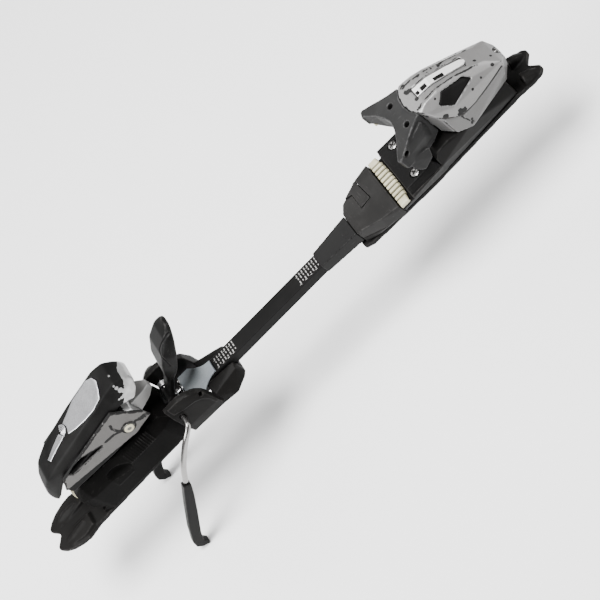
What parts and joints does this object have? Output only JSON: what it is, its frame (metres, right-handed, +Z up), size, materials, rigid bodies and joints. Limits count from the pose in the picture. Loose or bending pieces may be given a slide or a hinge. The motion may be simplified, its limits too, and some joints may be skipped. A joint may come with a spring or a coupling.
{
  "type": "alpine ski binding",
  "caption": "Alpine ski binding: toe piece with turning cup, heel piece with lever and jaw, a spring brake with two arms, and the band that joins them.",
  "frame": {"origin": "on the ski's top sheet, half way along the centre band", "axes": "+X towards the ski's tip (the toe piece), +Y to the ski's left, +Z up from the top sheet"},
  "size_m": [0.578, 0.0912, 0.2011],
  "materials": {
    "black_gloss": "smooth black plastic",
    "black_plastic": "moulded black plastic, scuffed",
    "cream_plastic": "cream, smooth",
    "grey_plastic": "dark warm grey plastic, fine grain",
    "satin_silver": "satin silver",
    "silver_paint": "silver paint with chips along the edges",
    "steel": "bright steel",
    "zinc_steel": "bluish zinc plate"
  },
  "bodies": {
    "ski_mount": {"centre_band": "black_plastic", "front_track": "black_plastic", "rear_track": "black_plastic", "front_track_screw_1": "steel", "front_track_screw_2": "steel", "rear_track_screw_1": "steel", "rear_track_screw_2": "steel"},
    "toe": {"toe_carriage": "black_plastic", "tail_cover": "black_gloss", "nose_cover": "black_plastic", "afd_plate": "black_plastic", "afd_screw_left": "steel", "afd_screw_right": "steel", "toe_housing": "silver_paint", "toe_pivot_post": "steel", "scale_window": "satin_silver", "side_window_left": "black_gloss", "side_window_right": "black_gloss", "toe_piston": "steel", "toe_spring": "steel"},
    "toe_latch": {"nose_latch": "black_gloss"},
    "toe_slider": {"afd_band": "cream_plastic"},
    "cup": {"toe_cup": "grey_plastic", "wing_pad_left": "cream_plastic", "wing_pad_right": "cream_plastic"},
    "toe_screw": {"toe_release_screw": "steel"},
    "toe_seat": {"toe_spring_seat": "zinc_steel"},
    "heel": {"heel_carriage": "black_plastic", "heel_pivot_pin": "steel", "pressure_spring": "steel", "brake_housing": "black_plastic", "brake_plate": "zinc_steel", "brake_spring": "steel"},
    "pressure_worm": {"pressure_screw": "cream_plastic"},
    "heel_arm": {"heel_housing": "black_plastic", "heel_jaw": "silver_paint", "heel_piston": "steel", "heel_spring": "steel"},
    "heel_screw": {"heel_release_screw": "steel"},
    "heel_seat": {"heel_spring_seat": "zinc_steel"},
    "lever": {"heel_lever": "black_plastic", "lever_inlay": "satin_silver", "lever_key": "black_gloss", "side_plate_left": "silver_paint", "side_plate_right": "silver_paint"},
    "brake": {"brake_pedal": "black_plastic", "brake_arm_left": "steel", "brake_arm_right": "steel", "brake_tip_left": "black_plastic", "brake_tip_right": "black_plastic"}
  },
  "joints": [
    {"name": "toe_slide", "type": "slide", "parent": "ski_mount", "child": "toe", "axis": [1, 0, 0], "range_m": [-0.02, 0.008]},
    {"name": "latch_press", "type": "slide", "parent": "toe", "child": "toe_latch", "axis": [0, 0, -1], "range_m": [0, 0.002], "stiffness_N_per_m": 400, "springref_m": -0.002},
    {"name": "slider_shift", "type": "slide", "parent": "toe", "child": "toe_slider", "axis": [0, 1, 0], "range_m": [-0.006, 0.006], "stiffness_N_per_m": 300},
    {"name": "cup_turn", "type": "hinge", "parent": "toe", "child": "cup", "pos_m": [0.21, 0, 0.045], "axis": [0, 0, 1], "range_deg": [-23, 23], "stiffness_Nm_per_rad": 6},
    {"name": "toe_screw_turn", "type": "hinge", "parent": "toe", "child": "toe_screw", "pos_m": [0.25, 0, 0.042], "axis": [1, 0, 0], "range_deg": [0, 1081]},
    {"name": "toe_seat_travel", "type": "slide", "parent": "toe", "child": "toe_seat", "axis": [1, 0, 0], "range_m": [0, 0.003]},
    {"name": "heel_slide", "type": "slide", "parent": "ski_mount", "child": "heel", "axis": [1, 0, 0], "range_m": [-0.012, 0.02]},
    {"name": "pressure_screw_turn", "type": "hinge", "parent": "heel", "child": "pressure_worm", "pos_m": [-0.24, 0, 0.029], "axis": [1, 0, 0], "range_deg": [-1081, 1801]},
    {"name": "heel_arm_turn", "type": "hinge", "parent": "heel", "child": "heel_arm", "pos_m": [-0.162, 0, 0.066], "axis": [0, 1, 0], "range_deg": [0, 25]},
    {"name": "lever_turn", "type": "hinge", "parent": "heel_arm", "child": "lever", "pos_m": [-0.162, 0, 0.066], "axis": [0, 1, 0], "range_deg": [0, 7.6]},
    {"name": "heel_screw_turn", "type": "hinge", "parent": "heel_arm", "child": "heel_screw", "pos_m": [-0.23, 0, 0.0615], "axis": [1, 0, 0], "range_deg": [0, 1081]},
    {"name": "heel_seat_travel", "type": "slide", "parent": "heel_arm", "child": "heel_seat", "axis": [-1, 0, 0], "range_m": [0, 0.003]},
    {"name": "brake_turn", "type": "hinge", "parent": "heel", "child": "brake", "pos_m": [-0.131, 0, 0.0305], "axis": [0, 1, 0], "range_deg": [0, 46], "stiffness_Nm_per_rad": 1.2, "springref_deg": -28.65}
  ],
  "couplings": [
    {"joint": "toe_screw_turn", "follows": "toe_seat_travel", "rad_per_m": 6283.2},
    {"joint": "heel_screw_turn", "follows": "heel_seat_travel", "rad_per_m": 6283.2},
    {"joint": "pressure_screw_turn", "follows": "heel_slide", "rad_per_m": 1570.8},
    {"joint": "lever_turn", "follows": "heel_arm_turn", "ratio": 0.3}
  ]
}
